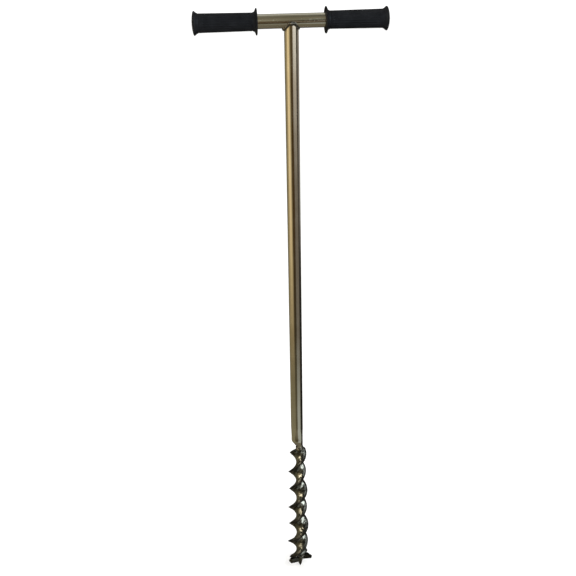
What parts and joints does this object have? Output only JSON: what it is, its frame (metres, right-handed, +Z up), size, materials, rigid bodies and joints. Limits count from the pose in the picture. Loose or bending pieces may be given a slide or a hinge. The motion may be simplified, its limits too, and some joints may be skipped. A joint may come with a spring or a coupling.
{
  "type": "soil auger",
  "caption": "Hand soil auger: T handle with two rubber grips on a plated tube shaft, and a right-handed twisted steel bit with two cutting lips and a centre point.",
  "frame": {"origin": "on the shaft's centre line, level with the tip of the centre point", "axes": "+Z up the shaft to the handle, +X along the right grip, +Y away from the side the tool is usually seen from"},
  "size_m": [0.334, 0.0466, 1.222],
  "materials": {
    "plated_steel": "bright plated tube, faint drawn lines along its length",
    "weld_metal": "rippled weld bead under plating, darker than the tube",
    "grip_rubber": "black moulded rubber, soft sheen",
    "plug_plastic": "dark grey moulded plastic",
    "tool_steel": "polished forged steel with dark edges",
    "cutter_steel": "dark ground steel"
  },
  "bodies": {
    "root": {"crossbar_tube": "plated_steel", "shaft_tube": "plated_steel", "handle_weld": "weld_metal", "left_grip": "grip_rubber", "right_grip": "grip_rubber", "left_end_plug": "plug_plastic", "right_end_plug": "plug_plastic", "bit_tang": "tool_steel", "neck_weld": "weld_metal", "twisted_bar": "tool_steel", "hub_weld": "weld_metal", "cutter_hub": "tool_steel", "left_lip": "cutter_steel", "right_lip": "cutter_steel", "lip_welds": "weld_metal", "centre_point": "cutter_steel"}
  },
  "joints": []
}
